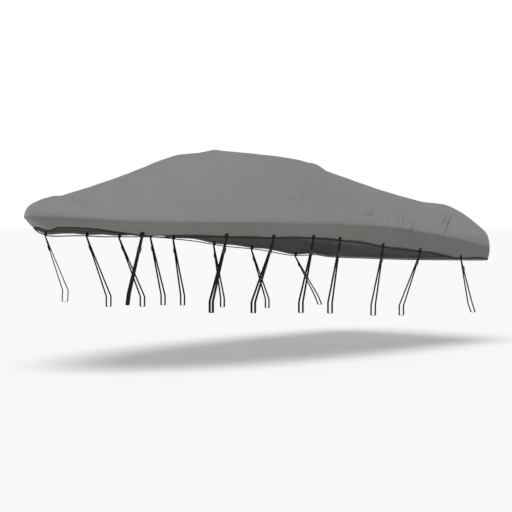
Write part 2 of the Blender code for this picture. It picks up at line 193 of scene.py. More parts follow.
# Small gathers along the skirt, in waves whose phase drifts, and the puckers that spread from a tab.
# How often a wave comes is in radians a metre.
GATHER_DEPTH = 0.0011
GATHER_TURN = 76.0
GATHER_DRIFT = ((4.5, 2.3, 0.0), (3.0, 5.1, 1.0))
GATHER_MEAN = 0.6
GATHER_UNEVENNESS = 3.7
GATHER_FALL = 0.7
GATHERS_LEFT_AT_TAB = 0.055
PUCKER_LEANS = (-1.0, -0.25, 0.4, 1.0)
PUCKER_DEPTH = 0.0016
PUCKER_FOOT = 0.022
PUCKER_SPREAD = 0.085
PUCKER_HALF_WIDTH = 0.0085
PUCKER_START = 7.0

# Folds between two places on one side, drawn as they look slantwise from off the bow: a place is
# given by its slant, which is its station plus SLANT times its reach, and by its height. A positive
# depth is a trough and a negative one a ridge. A fold fades towards both its ends.
SLANT = 1.12
FOLD_COLUMNS = "slant_a height_a slant_b height_b depth half_width"
PORT_FOLDS = table(
    FOLD_COLUMNS,
    (5.714, 1.168, 6.075, 1.443, -0.020, 0.021),
    (5.800, 1.214, 6.110, 1.426, 0.018, 0.018),
    (5.773, 1.307, 5.956, 1.417, -0.011, 0.017),
    (5.799, 1.296, 6.097, 1.459, 0.010, 0.015),
    (4.784, 1.300, 4.836, 1.390, -0.009, 0.016),
    (4.898, 1.322, 4.961, 1.398, -0.011, 0.016),
    (4.954, 1.316, 5.025, 1.398, -0.012, 0.016),
    (5.026, 1.306, 5.132, 1.402, -0.013, 0.016),
    (4.836, 1.318, 4.874, 1.388, 0.008, 0.015),
    (4.997, 1.318, 5.068, 1.398, 0.009, 0.015),
    (5.073, 1.308, 5.168, 1.389, 0.009, 0.015),
    (5.158, 1.252, 5.316, 1.368, -0.023, 0.018),
    (5.076, 1.190, 5.170, 1.268, -0.010, 0.016),
    (5.186, 1.226, 5.246, 1.288, 0.006, 0.016),
    (6.264, 1.128, 6.313, 1.247, 0.012, 0.020),
    (6.211, 1.126, 6.244, 1.224, -0.008, 0.020),
    (5.544, 1.168, 5.715, 1.305, 0.0045, 0.027),
    (6.416, 1.120, 6.413, 1.250, 0.004, 0.033),
    (4.742, 1.304, 4.771, 1.352, 0.0037, 0.016),
    (4.852, 1.390, 4.864, 1.444, 0.0037, 0.020),
    (4.440, 1.388, 4.627, 1.408, 0.012, 0.020),
    (4.575, 1.396, 4.685, 1.444, 0.011, 0.018),
    (4.550, 1.360, 4.703, 1.382, -0.008, 0.020),
    (4.439, 1.418, 4.513, 1.436, -0.0043, 0.018),
    (4.339, 1.296, 4.386, 1.388, 0.007, 0.018),
    (4.012, 1.352, 4.047, 1.460, 0.005, 0.020),
    (3.480, 1.466, 3.505, 1.664, -0.009, 0.022),
    (3.541, 1.476, 3.563, 1.644, 0.007, 0.022),
    (3.653, 1.456, 3.636, 1.564, -0.008, 0.018),
    (3.893, 1.516, 3.922, 1.614, -0.008, 0.020),
    (3.158, 1.540, 3.365, 1.550, -0.008, 0.018),
    (2.475, 1.486, 2.700, 1.504, 0.005, 0.018),
    (1.347, 1.330, 1.350, 1.430, -0.0043, 0.020),
)
STARBOARD_FOLDS = table(
    FOLD_COLUMNS,
    (5.524, 1.205, 5.796, 1.444, -0.018, 0.023),
    (5.584, 1.190, 5.887, 1.418, 0.016, 0.020),
    (6.278, 1.106, 6.302, 1.254, 0.007, 0.022),
    (5.922, 1.186, 5.939, 1.296, 0.005, 0.025),
    (5.202, 1.262, 5.245, 1.376, -0.010, 0.019),
    (5.253, 1.256, 5.295, 1.370, 0.009, 0.018),
    (4.610, 1.300, 4.837, 1.434, 0.011, 0.020),
    (4.703, 1.296, 4.918, 1.418, -0.010, 0.019),
    (4.358, 1.326, 4.413, 1.424, 0.0045, 0.020),
    (3.859, 1.356, 3.849, 1.484, 0.0045, 0.020),
    (3.067, 1.436, 3.055, 1.654, -0.005, 0.022),
    (3.151, 1.446, 3.155, 1.644, 0.0045, 0.021),
    (2.336, 1.346, 2.285, 1.444, 0.0045, 0.020),
    (1.315, 1.332, 1.335, 1.444, -0.0045, 0.020),
)
FOLD_INNER_REACH = 0.1

# Folds on the transom's face between two places given by reach, to starboard, and height.
TRANSOM_FOLDS = table(
    "reach_a height_a reach_b height_b depth half_width",
    (-1.09, 1.074, -0.87, 1.236, 0.010, 0.020),
    (-1.04, 1.070, -0.86, 1.190, -0.007, 0.018),
    (-0.90, 1.062, -0.80, 1.182, 0.006, 0.018),
    (-0.59, 1.058, -0.55, 1.196, 0.007, 0.020),
    (-0.53, 1.058, -0.49, 1.166, -0.005, 0.018),
    (-0.30, 1.056, -0.29, 1.130, 0.005, 0.017),
    (-0.08, 1.056, -0.10, 1.176, 0.006, 0.020),
    (0.17, 1.056, 0.16, 1.126, 0.005, 0.017),
    (0.41, 1.057, 0.38, 1.176, 0.007, 0.020),
    (0.46, 1.057, 0.43, 1.146, -0.005, 0.017),
    (0.72, 1.060, 0.66, 1.186, 0.006, 0.019),
    (0.98, 1.066, 0.84, 1.216, 0.008, 0.020),
    (1.08, 1.074, 0.90, 1.196, 0.010, 0.019),
    (1.04, 1.070, 0.86, 1.206, -0.007, 0.018),
)
TRANSOM_FOLD_STATION = 5.3

# The slow unevenness of a cloth drawn over a boat: waves by their length along and up, and phase.
SWELLS = table(
    "height along up phase",
    (0.0012, 1.31, 0.83, 0.4),
    (0.0010, 0.57, 0.41, 2.1),
    (0.0006, 0.29, 0.33, 4.4),
)
SWELL_LEAN = 0.6
SWELL_STARBOARD_PHASE = 1.7


def smooth(at, keys, values, level_ends=False):
    """Monotone cubic curve through rows of keys and values, which may differ from place to place."""
    at = np.asarray(at, float)
    keys = np.asarray(keys, float).reshape(len(keys), -1)
    values = np.asarray(values, float).reshape(len(values), -1)
    steps = np.diff(keys, axis=0)
    slopes = np.diff(values, axis=0) / steps
    before = 2.0 * steps[1:] + steps[:-1]
    after = steps[1:] + 2.0 * steps[:-1]
    same_way = slopes[:-1] * slopes[1:] > 0.0
    first = np.where(same_way, slopes[:-1], 1.0)
    second = np.where(same_way, slopes[1:], 1.0)
    tangents = np.zeros_like(values + keys)
    tangents[1:-1] = np.where(same_way, (before + after) / (before / first + after / second), 0.0)
    if not level_ends:
        tangents[0] = slopes[0]
        tangents[-1] = slopes[-1]
    at = np.clip(at, keys[0], keys[-1])
    row = np.clip((at >= keys).sum(axis=0) - 1, 0, len(keys) - 2)

    def read(column, offset=0):
        wide = np.broadcast_to(column, (len(column), at.size))
        return np.take_along_axis(wide, row[None] + offset, axis=0)[0]

    step = read(steps)
    part = (at - read(keys)) / step
    rest = 1.0 - part
    start = rest**2 * ((1.0 + 2.0 * part) * read(values) + part * step * read(tangents))
    end = part**2 * ((1.0 + 2.0 * rest) * read(values, 1) - rest * step * read(tangents, 1))
    return start + end


def unit(vectors):
    """Vectors scaled to length one."""
    return vectors / np.linalg.norm(vectors, axis=-1, keepdims=True)


def closed_up(points):
    """A ring's points with the first one again at its end."""
    return np.concatenate((points, points[:1]))


def along_path(points):
    """Distance along a path at each of its points."""
    steps = np.linalg.norm(np.diff(points, axis=0), axis=-1)
    return np.concatenate(([0.0], np.cumsum(steps)))


def read_along(at, along, points):
    """Points at distances along a path, from those of its own points."""
    return np.stack([np.interp(at, along, points[:, axis]) for axis in range(3)], axis=-1)


# ---- the cloth

SEAM_ROWS = along_path(np.stack((GUNWALE["station"], GUNWALE["reach"]), axis=-1))
TABS = smooth(TIE_DOWNS["station"], GUNWALE["station"], SEAM_ROWS)


def column_places():
    """Distances along the seam, from bow to transom, of the fine cloth's columns on one side."""
    places = [0.0]
    for until, step in zip(COLUMN_STEPS["until"], COLUMN_STEPS["step"]):
        end = float(np.interp(until, GUNWALE["station"], SEAM_ROWS))
        count = round((end - places[-1]) / step)
        places.extend(np.linspace(places[-1], end, count + 1)[1:])
    facets = np.concatenate((TABS - TAB_FACET, TABS + TAB_FACET))
    clear = [p for p in places if np.abs(facets - p).min() > FACET_CLEARANCE]
    return np.array(sorted(clear + list(facets)))


def top_height(station, reach):
    """Height of the top over points of the plan."""
    edge = smooth(np.minimum(station, SQUARE_STATION), GUNWALE["station"], GUNWALE["reach"])
    low = smooth(station, GUNWALE["station"], GUNWALE["height"])
    knee, knee_level, foot_level = (
        smooth(station, SECTION["station"], SECTION[name])
        for name in ("knee_part", "knee_level", "foot_level")
    )
    before, after = knee - KNEE_ROUNDING, knee + KNEE_ROUNDING
    parts = np.stack((0.0 * knee, before, after, 0.0 * knee + 1.0))
    crown = 1.0 + (knee_level - 1.0) * before / knee
    slope = knee_level + (foot_level - knee_level) * KNEE_ROUNDING / (1.0 - knee)
    levels = np.stack((0.0 * knee + 1.0, crown, slope, foot_level))
    rise = smooth(station, RIDGE["station"], RIDGE["height"]) - low
    return low + rise * smooth(reach / np.maximum(edge, LEAST_REACH), parts, levels)


def side_curves(places):
    """Seam, hem and directions of one side at each place along the seam, on the starboard side."""
    read = {name: smooth(places, SEAM_ROWS, GUNWALE[name], name != "reach") for name in GUNWALE}
    away = np.abs(places[:, None] - TABS).min(axis=1)
    pull = HEM_PULL * np.exp(-((np.maximum(away - TAB_FACET, 0.0) / HEM_PULL_WIDTH) ** 2))
    seam = np.stack((read["station"], read["reach"], read["height"]), axis=-1)
    spine = np.stack((np.clip(seam[:, 0], BOW_POLE, STERN_POLE), 0.0 * pull, seam[:, 2]), axis=-1)
    inward = unit(spine - seam)
    hem = seam + inward * read["tuck"][:, None]
    hem[:, 2] = read["hem"] - pull
    beyond = np.maximum(TABS[0] - places, places - TABS[-1]) - TAB_CLEARANCE
    near = np.clip(beyond / ROPE_CLOSING, 0.0, 1.0)
    drop = ROPE_UNDER_HEM + HEM_PULL - pull
    drop = drop + (ROPE_AGAINST_HEM - drop) * near**2 * (3.0 - 2.0 * near)
    return {"seam": seam, "spine": spine, "inward": inward, "hem": hem, "drop": drop, "place": places}


def flatten_at_tabs(curves):
    """Makes the hem's stretch under each tab straight, as the webbing that clasps it holds it."""
    places = curves["place"]
    for tab in TABS:
        inside = np.flatnonzero(np.abs(places - tab) < TAB_FACET + SAME_PLACE)
        first, last = inside[0], inside[-1]
        part = (places[inside] - places[first]) / (places[last] - places[first])
        for name in ("hem", "inward"):
            ends = curves[name][first], curves[name][last]
            curves[name][inside] = ends[0] + (ends[1] - ends[0]) * part[:, None]


def skirt_points(curves):
    """The skirt's middle surface from seam to hem, its outward normals and its directions up."""
    rise = curves["seam"] - curves["hem"]
    up = unit(rise)
    outward = unit(-curves["inward"] + up * (curves["inward"] * up).sum(axis=-1, keepdims=True))

    def at(part):
        bulge = 4.0 * part * (1.0 - part) * SKIRT_BULGE
        return curves["hem"] + rise * part - curves["inward"] * bulge

    return at, up, outward, np.linalg.norm(rise, axis=-1)


def hem_ripple(curves, part):
    """Small gathers that the draw rope and the tabs draw into the skirt, largest at the hem."""
    place = curves["place"]
    drift = sum(turn * np.sin(place * often + phase) for turn, often, phase in GATHER_DRIFT)
    uneven = GATHER_MEAN + (1.0 - GATHER_MEAN) * np.sin(place * GATHER_UNEVENNESS)
    gather = GATHER_DEPTH * np.sin(place * GATHER_TURN + drift) * uneven
    near = np.abs(place[:, None] - TABS).min(axis=1)
    held = 1.0 - np.exp(-((near / GATHERS_LEFT_AT_TAB) ** 2))
    ripple = gather * held
    for tab in TABS:
        for lean in PUCKER_LEANS:
            line = tab + lean * (PUCKER_FOOT + PUCKER_SPREAD * part)
            pucker = PUCKER_DEPTH * np.exp(-(((place - line) / PUCKER_HALF_WIDTH) ** 2))
            ripple = ripple - pucker * (1.0 - part) * min(1.0, PUCKER_START * part)
    return ripple * (1.0 - part) ** GATHER_FALL


def ring_of(starboard):
    """Port and starboard columns joined into one closed ring."""
    port = starboard * (1.0, -1.0, 1.0)
    return np.concatenate((port, starboard[-2:0:-1]))


def swell(points):
    """The cloth's slow unevenness at each point, by where it lies along and up its side."""
    station, reach, level = np.moveaxis(points, -1, 0)
    lean = level + SWELL_LEAN * np.abs(reach)
    side = np.where(reach < 0.0, 0.0, SWELL_STARBOARD_PHASE)
    total = 0.0
    for height, along, up, phase in zip(*SWELLS.values()):
        turn = 2.0 * np.pi * (station / along + lean / up) + phase + side
        total = total + height * np.sin(turn)
    return total


def one_fold(places, start, end, depth, half_width):
    """The depth of a fold at places in its plane: a soft trough that fades towards both its ends."""
    run = np.subtract(end, start)
    offset = places - start
    part = np.clip(offset @ run / (run @ run), 0.0, 1.0)
    away = np.linalg.norm(offset - part[..., None] * run, axis=-1)
    fade = np.sqrt(4.0 * part * (1.0 - part))
    return depth * fade * np.exp(-((away / half_width) ** 2))


def fold_depths(points):
    """How far the folds push each point inward."""
    station, reach, height = np.moveaxis(points, -1, 0)
    depths = np.zeros_like(height)
    on_transom = station > TRANSOM_FOLD_STATION
    from_ahead = np.stack((station + SLANT * np.abs(reach), height), axis=-1)
    for side, folds in ((-1.0, PORT_FOLDS), (1.0, STARBOARD_FOLDS)):
        on_side = (reach * side > FOLD_INNER_REACH) & ~on_transom
        for *ends, depth, half_width in zip(*folds.values()):
            depths += on_side * one_fold(from_ahead, ends[:2], ends[2:], depth, half_width)
    for *ends, depth, half_width in zip(*TRANSOM_FOLDS.values()):
        depths += on_transom * one_fold(points[..., 1:], ends[:2], ends[2:], depth, half_width)
    return depths


def grid_normals(grid):
    """Outward normals of a grid of rings whose columns close round the boat."""
    across = np.roll(grid, -1, axis=1) - np.roll(grid, 1, axis=1)
    upward = np.gradient(grid, axis=0)
    normals = np.cross(across, upward)
    normals[np.linalg.norm(normals, axis=-1) < NO_LENGTH] = (0.0, 0.0, 1.0)
    return unit(normals)


def to_frame(points):
    """Points given by station, reach and height, in the model's frame."""
    return points - (ORIGIN_STATION, 0.0, ORIGIN_HEIGHT)


def top_grid(curves):
    """Rings of the top from its lap over the skirt up to the ridge."""
    seam, spine, inward = curves["seam"], curves["spine"], curves["inward"]
    skirt, _, outward, depth = skirt_points(curves)
    rings = []
    for down, lift in LAP_RINGS:
        part = 1.0 - down / depth
        rings.append(skirt(part[:, None]) + outward * lift)
    shoulder = seam + inward * SHOULDER_INSET
    shoulder[:, 2] = top_height(shoulder[:, 0], shoulder[:, 1])
    corner = seam.copy()
    rounding = smooth(seam[:, 0], SHOULDER["station"], SHOULDER["rounding"])
    corner[:, 2] += rounding * (shoulder[:, 2] - seam[:, 2])
    for part in np.linspace(0.0, 1.0, WALL_RINGS + 1)[1:-1]:
        rest = 1.0 - part
        rings.append(rest**2 * seam + 2.0 * part * rest * corner + part**2 * shoulder)
    slope = np.linspace(0.0, SLOPE_PART, SLOPE_RINGS, endpoint=False)
    for part in np.concatenate((slope, np.linspace(SLOPE_PART, 1.0, CROWN_RINGS))):
        point = shoulder + (spine - shoulder) * part
        point[:, 2] = top_height(point[:, 0], point[:, 1])
        rings.append(point)
    grid = np.stack([ring_of(ring) for ring in rings])
    normals = grid_normals(grid)
    above_lap = grid[..., 2] - grid[len(LAP_RINGS)][None, :, 2]
    fade = np.clip(above_lap / SWELL_FADE, 0.0, 1.0)
    inward_push = fold_depths(grid) + swell(grid) * fade
    return to_frame(grid - normals * inward_push[..., None])


def skirt_grid(curves):
    """Rings of the skirt from behind the lap down to the hem, round it and up inside."""
    skirt, up, outward, _ = skirt_points(curves)
    rings = []
    for part in np.linspace(1.0, SKIRT_FOOT, SKIRT_RINGS):
        ripple = hem_ripple(curves, part)
        rings.append(skirt(part) + outward * ripple[:, None])
    ripple = hem_ripple(curves, 0.0)[:, None] * outward
    half = HEM_CLOTH / 2.0
    middle = curves["hem"] + up * half - outward * half + ripple
    for angle in np.linspace(*HEM_EDGE) * np.pi:
        rings.append(middle + half * (np.cos(angle) * outward - np.sin(angle) * up))
    for rise, inset in HEM_INSIDE:
        rings.append(curves["hem"] + up * HEM_DEPTH * rise - outward * HEM_CLOTH * inset + ripple)
    grid = np.stack([ring_of(ring) for ring in rings])
    outer, normals = grid[:SKIRT_RINGS], -grid_normals(grid)[:SKIRT_RINGS]
    outer -= normals * fold_depths(outer)[..., None]
    return to_frame(grid)


# ---- meshes

SHEET_MERGE = 1e-5

# The bend in radians from which a piece's edge is drawn sharp.
SHARP = 0.9
TOP_SHARP = 1.2
SKIRT_SHARP = 1.4
BUCKLE_SHARP = 0.6
STITCH_SHARP = 3.0


def linked(name, data):
    """An object of some data, in the scene."""
    made = bpy.data.objects.new(name, data)
    bpy.context.scene.collection.objects.link(made)
    return made


def make_piece(name, vertices, faces, material, uv=None, merge=0.0, sharp=SHARP):
    """A mesh object with its cut coordinates in metres, riding on the model."""
    mesh = bpy.data.meshes.new(name)
    mesh.from_pydata(np.asarray(vertices).tolist(), [], [list(face) for face in faces])
    if uv is not None:
        layer = mesh.uv_layers.new(name="cut")
        layer.data.foreach_set("uv", np.asarray(uv, np.float32).ravel())
    shape = bmesh.new()
    shape.from_mesh(mesh)
    if merge:
        bmesh.ops.remove_doubles(shape, verts=shape.verts, dist=merge)
        bmesh.ops.dissolve_degenerate(shape, edges=shape.edges, dist=merge)
    bmesh.ops.recalc_face_normals(shape, faces=shape.faces)
    shape.to_mesh(mesh)
    shape.free()
    mesh.materials.append(material)
    mesh.shade_smooth()
    mesh.set_sharp_from_angle(angle=sharp)
    piece = linked(name, mesh)
    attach(piece, "root")
    return piece


def ring_faces(count, sides, closed):
    """Faces of four corners between one ring of points and the next."""
    here = np.arange(count if closed else count - 1)[:, None]
    low, high = here * sides, (here + 1) % count * sides
    a = np.arange(sides)
    b = (a + 1) % sides
    return np.stack((low + a, low + b, high + b, high + a), axis=-1).reshape(-1, 4)


def face_cuts(cut):
    """The cut coordinates at the corners of each face, from those of the grid's points."""
    corners = (cut[:-1, :-1], cut[:-1, 1:], cut[1:, 1:], cut[1:, :-1])
    return np.stack(corners, axis=2).reshape(-1, 2)


def sheet_piece(name, grid, material, sharp):
    """A sheet of cloth from its grid of rings, with its cut coordinates along and up."""
    rings, columns = grid.shape[:2]
    around = along_path(closed_up(grid[0]))
    climb = np.zeros((rings, columns))
    climb[1:] = np.cumsum(np.linalg.norm(np.diff(grid, axis=0), axis=-1), axis=0)
    climb = np.concatenate((climb, climb[:, :1]), axis=1)
    uv = face_cuts(np.stack((np.broadcast_to(around, climb.shape), climb), axis=-1))
    faces = ring_faces(rings, columns, closed=False)
    return make_piece(name, grid.reshape(-1, 3), faces, material, uv, SHEET_MERGE, sharp)


def tube_piece(name, rings, material, closed):
    """A mesh over rings of points along a path, with its cut coordinates round and along."""
    stations, sides = rings.shape[:2]
    along = along_path(closed_up(rings.mean(axis=1)))
    around = along_path(closed_up(rings[0]))
    cut = np.stack(np.meshgrid(around, along), axis=-1)
    faces = [*ring_faces(stations, sides, closed)]
    uv = face_cuts(cut if closed else cut[:-1])
    if not closed:
        for start in (0, (stations - 1) * sides):
            faces.append(range(start, start + sides))
            uv = np.concatenate((uv, np.zeros((sides, 2))))
    return make_piece(name, rings.reshape(-1, 3), faces, material, uv)


# ---- webbing and rope

EDGE_SOFTNESS = 0.0007
EDGE_LEVEL = 0.35
SHARPEST_BEND = 0.5

# The webbing's section: on which side of its width, how far in from its edge and how far through.
WEBBING_SECTION = (
    (1.0, 0.0, -EDGE_LEVEL),
    (1.0, 0.0, EDGE_LEVEL),
    (1.0, EDGE_SOFTNESS, 1.0),
    (-1.0, EDGE_SOFTNESS, 1.0),
    (-1.0, 0.0, EDGE_LEVEL),
    (-1.0, 0.0, -EDGE_LEVEL),
    (-1.0, EDGE_SOFTNESS, -1.0),
    (1.0, EDGE_SOFTNESS, -1.0),
)

# A strap's corner takes up at most this part of the runs beside it, and is drawn through these.
CORNER_ROOM = 0.45
CORNER_PARTS = (0.0, 0.25, 0.5, 0.75, 1.0)

STRAP_STEP = 0.04
BULB_RADIUS = ROPE_RADIUS + ROPE_FIT + WEBBING / 2.0
BULB_POINTS = 17
LEG_POINTS = 6
LEG_OFF_BULB = 0.002


def bent_path(points, across):
    """A closed path with its corners rounded and its straight runs divided, and its widths."""
    bent, widths = [], []
    for i, here in enumerate(points):
        to_before, to_after = points[i - 1] - here, points[(i + 1) % len(points)] - here
        room = min(np.linalg.norm(to_before), np.linalg.norm(to_after)) * CORNER_ROOM
        start = here + unit(to_before) * min(RAIL_ROUNDING, room)
        end = here + unit(to_after) * min(RAIL_ROUNDING, room)
        for part in CORNER_PARTS:
            rest = 1.0 - part
            bent.append(rest**2 * start + 2.0 * part * rest * here + part**2 * end)
            widths.append(across[i])
    bent, widths = closed_up(bent), closed_up(widths)
    path, sides = [], []
    for i, run in enumerate(np.diff(bent, axis=0)):
        pieces = max(1, int(np.ceil(np.linalg.norm(run) / STRAP_STEP)))
        for part in np.arange(pieces) / pieces:
            path.append(bent[i] + run * part)
            sides.append(widths[i] + (widths[i + 1] - widths[i]) * part)
    return np.array(path), unit(np.array(sides))


def webbing_rings(path, across, width, closed):
    """Rings of points round flat webbing along a path."""
    before = np.roll(path, 1, axis=0)
    after = np.roll(path, -1, axis=0)
    if not closed:
        before[0] = 2.0 * path[0] - path[1]
        after[-1] = 2.0 * path[-1] - path[-2]
    turn = unit(path - before) + unit(after - path)
    bend = np.clip(np.linalg.norm(turn, axis=-1, keepdims=True) / 2.0, SHARPEST_BEND, 1.0)
    out = unit(np.cross(across, unit(turn))) / bend
    half, thick = width / 2.0, WEBBING / 2.0
    rings = []
    for side, inset, through in WEBBING_SECTION:
        rings.append(path + across * (half - inset) * side + out * thick * through)
    return np.stack(rings, axis=1)


def side_place(tab, side):
    """The middle of a tab's stretch of hem and its along, outward and up directions."""
    curves = side_curves(np.array((tab - TAB_FACET, tab + TAB_FACET)))
    low = curves["hem"] * (1.0, side, 1.0)
    rise = (curves["seam"] - curves["hem"]) * (1.0, side, 1.0)
    high = low + unit(rise) * HEM_DEPTH
    along = unit(low[1] - low[0]) * side
    up = high.mean(axis=0) - low.mean(axis=0)
    up = unit(up - along * (up @ along))
    return to_frame(low.mean(axis=0)), np.array((along, np.cross(up, along), up))


def tab_path():
    """A tab's path in its own directions, along, outward and up: its legs and its bulb."""
    leg = HEM_CLOTH / 2.0 + FIT + WEBBING / 2.0
    start = np.arcsin(leg / BULB_RADIUS)
    angles = np.linspace(start, 2.0 * np.pi - start, BULB_POINTS)
    bend = BULB_RADIUS * np.stack((0.0 * angles, np.sin(angles), np.cos(angles)), axis=-1)
    bend[:, 2] -= ROPE_UNDER_HEM
    climb = np.linspace(TAB_LAP, bend[0, 2] + LEG_OFF_BULB, LEG_POINTS)
    outer = np.stack((0.0 * climb, 0.0 * climb + leg, climb), axis=-1)
    inner = outer[::-1] * (1.0, -1.0, 1.0)
    path = np.concatenate((outer, bend, inner))
    path[:, 1] -= HEM_CLOTH / 2.0
    return path


def strap_path(hem, axes, side, rail_in, rail_top, aft):
    """A tie-down's corners, the direction of its width, and its buckle's place and directions."""
    along, outward, up = axes
    level = unit(along * (1.0, 1.0, 0.0))
    outboard = np.cross((0.0, 0.0, 1.0), level)
    top = rail_top - ORIGIN_HEIGHT

    def by_hem(out, drop):
        return hem + outward * out - up * drop

    def by_rail(inboard, height):
        slant = level * side * aft * (hem[2] - height) / (hem[2] - top)
        point = hem - outboard * inboard + slant
        point[2] = height
        return point

    apart = WEBBING + LAP_NOTCH
    face = WEBBING + FIT + WEBBING / 2.0 + FIT
    bulb = BULB_RADIUS + WEBBING + FIT - HEM_CLOTH / 2.0
    low = ROPE_UNDER_HEM + BULB_RADIUS + 2.0 * WEBBING
    near = rail_in - WEBBING
    far = rail_in + RAIL_WIDTH + WEBBING
    base = top - RAIL_HEIGHT - WEBBING
    points = (
        by_hem(face, -STRAP_LAP),
        by_hem(face + apart, -STRAP_LAP),
        by_hem(bulb + apart, ROPE_UNDER_HEM),
        by_hem(bulb + apart, low),
        by_rail(near, top),
        by_rail(near, base),
        by_rail(far, base),
        by_rail(far, top),
        by_hem(bulb, low),
        by_hem(bulb, ROPE_UNDER_HEM),
    )
    across = np.array([along] * 4 + [level] * 4 + [along] * 2)
    strand = points[4] - points[3]
    reach = BUCKLE_UNDER_HEM / np.linalg.norm(strand)
    down = unit(strand)
    width = unit(along + (level - along) * reach)
    width = unit(width - down * (width @ down))
    buckle = (points[3] + strand * reach, np.array((width, np.cross(down, width), down)))
    return points, across, buckle


ROPE_STEP = 0.0075
ROPE_SIDES = 14
ROPE_STRANDS = 4
ROPE_LAY = 0.030
ROPE_RELIEF = 0.00035
ROPE_RELIEF_INSET = 0.0002


def make_rope(curves, material):
    """The draw rope: straight from tab to tab, and against the hem round the bow and the transom."""
    _, up, outward, _ = skirt_points(curves)
    drop = up * curves["drop"][:, None]
    middle = closed_up(ring_of(curves["hem"] - outward * HEM_CLOTH / 2.0 - drop))
    around = along_path(middle)
    count = int(around[-1] / ROPE_STEP)
    at = np.arange(count) * around[-1] / count
    path = read_along(at, around, middle)
    run = unit(np.roll(path, -1, axis=0) - np.roll(path, 1, axis=0))
    over = unit(np.cross(run, (0.0, 0.0, 1.0)))
    lift = np.cross(over, run)
    angle = np.arange(ROPE_SIDES) * 2.0 * np.pi / ROPE_SIDES
    lay = 2.0 * np.pi * at[:, None] / ROPE_LAY
    strand = ROPE_STRANDS * angle
    relief = ROPE_RELIEF * np.cos(strand + lay) * np.cos(strand - lay)
    radius = (ROPE_RADIUS + relief - ROPE_RELIEF_INSET)[..., None]
    spoke = np.cos(angle)[:, None] * over[:, None] + np.sin(angle)[:, None] * lift[:, None]
    piece = tube_piece("draw_rope", to_frame(path)[:, None] + radius * spoke, material, closed=True)
    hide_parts("hem_rope")


# ---- buckles

BUCKLE_THICKNESS = 0.010
SOCKET_OUTLINE = (
    (0.0160, -0.0045), (0.0175, -0.0035), (0.0185, 0.0000), (0.0185, 0.0030),
    (0.0150, 0.0055), (0.0143, 0.0100), (0.0150, 0.0142), (0.0183, 0.0168),
    (0.0178, 0.0215), (0.0160, 0.0245),
)
PLUG_OUTLINE = (
    (0.0160, -0.0245), (0.0178, -0.0215), (0.0180, -0.0090), (0.0168, -0.0060),
    (0.0150, -0.0052),
)
EAR_OUTLINE = (
    (0.0146, 0.0050), (0.0166, 0.0048), (0.0180, 0.0066), (0.0184, 0.0096),
    (0.0180, 0.0126), (0.0164, 0.0148), (0.0146, 0.0150),
)

# The plug and the ears as parts of the socket's thickness, and how far the edges are rounded.
PLUG_PART = 0.86
EAR_PART = 0.55
SOCKET_ROUNDING = 0.0013
PLUG_ROUNDING = 0.0011
EAR_ROUNDING = 0.0008

# Ribs for the thumb and bars for the webbing: where they stand, their half length, how far they
# stand out of the face and reach into it, their height and their rounding.
RIBS = (-0.0150, -0.0125, 0.0045, 0.0075, 0.0105)
RIB = (0.0095, 0.0005, 0.0014, 0.0012, 0.0004)
BARS = (-0.0232, 0.0196)
BAR = (0.0140, 0.0006, 0.0016, 0.0036, 0.0007)
SAME_DEPTH = 1e-7


def mirrored(outline):
    """An outline's right half with its left half."""
    return [*outline, *((-x, z) for x, z in reversed(outline))]


def plate(shape, outline, low, high, bevel):
    """A plate of an outline in X and Z, between two depths in Y, with its edges rounded."""
    floor = [shape.verts.new((x, low, z)) for x, z in outline]
    face = shape.faces.new(floor)
    bmesh.ops.recalc_face_normals(shape, faces=[face])
    made = bmesh.ops.extrude_face_region(shape, geom=[face])
    raised = [item for item in made["geom"] if isinstance(item, bmesh.types.BMVert)]
    bmesh.ops.translate(shape, verts=raised, vec=(0.0, high - low, 0.0))
    body = {*floor, *raised}
    edges = []
    for edge in shape.edges:
        one, other = edge.verts
        if one in body and other in body and abs(one.co.y - other.co.y) < SAME_DEPTH:
            edges.append(edge)
    bmesh.ops.bevel(shape, geom=edges, offset=bevel, segments=3, profile=0.6, affect="EDGES")


def bar(shape, foot, face, half_length, out, into, height, bevel):
    """A rounded bar across the buckle's face, from its foot up."""
    top = foot + height
    outline = ((-half_length, foot), (half_length, foot), (half_length, top), (-half_length, top))
    plate(shape, outline, -face - out, into - face, bevel)


def make_buckle_mesh(material):
    """A side-release buckle: a socket, a plug with two ears, and a webbing bar at each end."""
    shape = bmesh.new()
    half = BUCKLE_THICKNESS / 2.0
    plate(shape, mirrored(SOCKET_OUTLINE), -half, half, SOCKET_ROUNDING)
    plug, ear = half * PLUG_PART, half * EAR_PART
    plate(shape, mirrored(PLUG_OUTLINE), -plug, plug, PLUG_ROUNDING)
    for side in (-1.0, 1.0):
        plate(shape, [(x * side, z) for x, z in EAR_OUTLINE], -ear, ear, EAR_ROUNDING)
    for foot in RIBS:
        bar(shape, foot, half, *RIB)
    for foot in BARS:
        bar(shape, foot, half, *BAR)
    bmesh.ops.recalc_face_normals(shape, faces=shape.faces)
    mesh = bpy.data.meshes.new("side_release_buckle")
    shape.to_mesh(mesh)
    shape.free()
    mesh.materials.append(material)
    mesh.shade_smooth()
    mesh.set_sharp_from_angle(angle=BUCKLE_SHARP)
    return mesh


# ---- stitches

THREAD = 0.0007
STITCH_LIFT = 0.0002
CLOTH_STITCH = 0.0036
CLOTH_STITCH_STEP = 0.0046
TAB_STITCH = 0.0028
TAB_STITCH_STEP = 0.0034

# Two rows of stitches on the lap, each a part of the way from one of its rings to another, and how
# far above the hem's edge its own row runs.
LAP_STITCHES = ((1, 2, 0.35), (2, 3, 0.45))
HEM_STITCHES_RISE = HEM_DEPTH * 0.9

# A tab's rows: how far in from its edges and from where to where, and the bars over the strap's end.
TAB_ROW_INSET = 0.003
TAB_ROW_SPAN = (0.003, TAB_LAP - 0.002)
BAR_OF_STITCHES = 0.020
BAR_HEIGHTS = (0.006, 0.009, 0.018, 0.021)


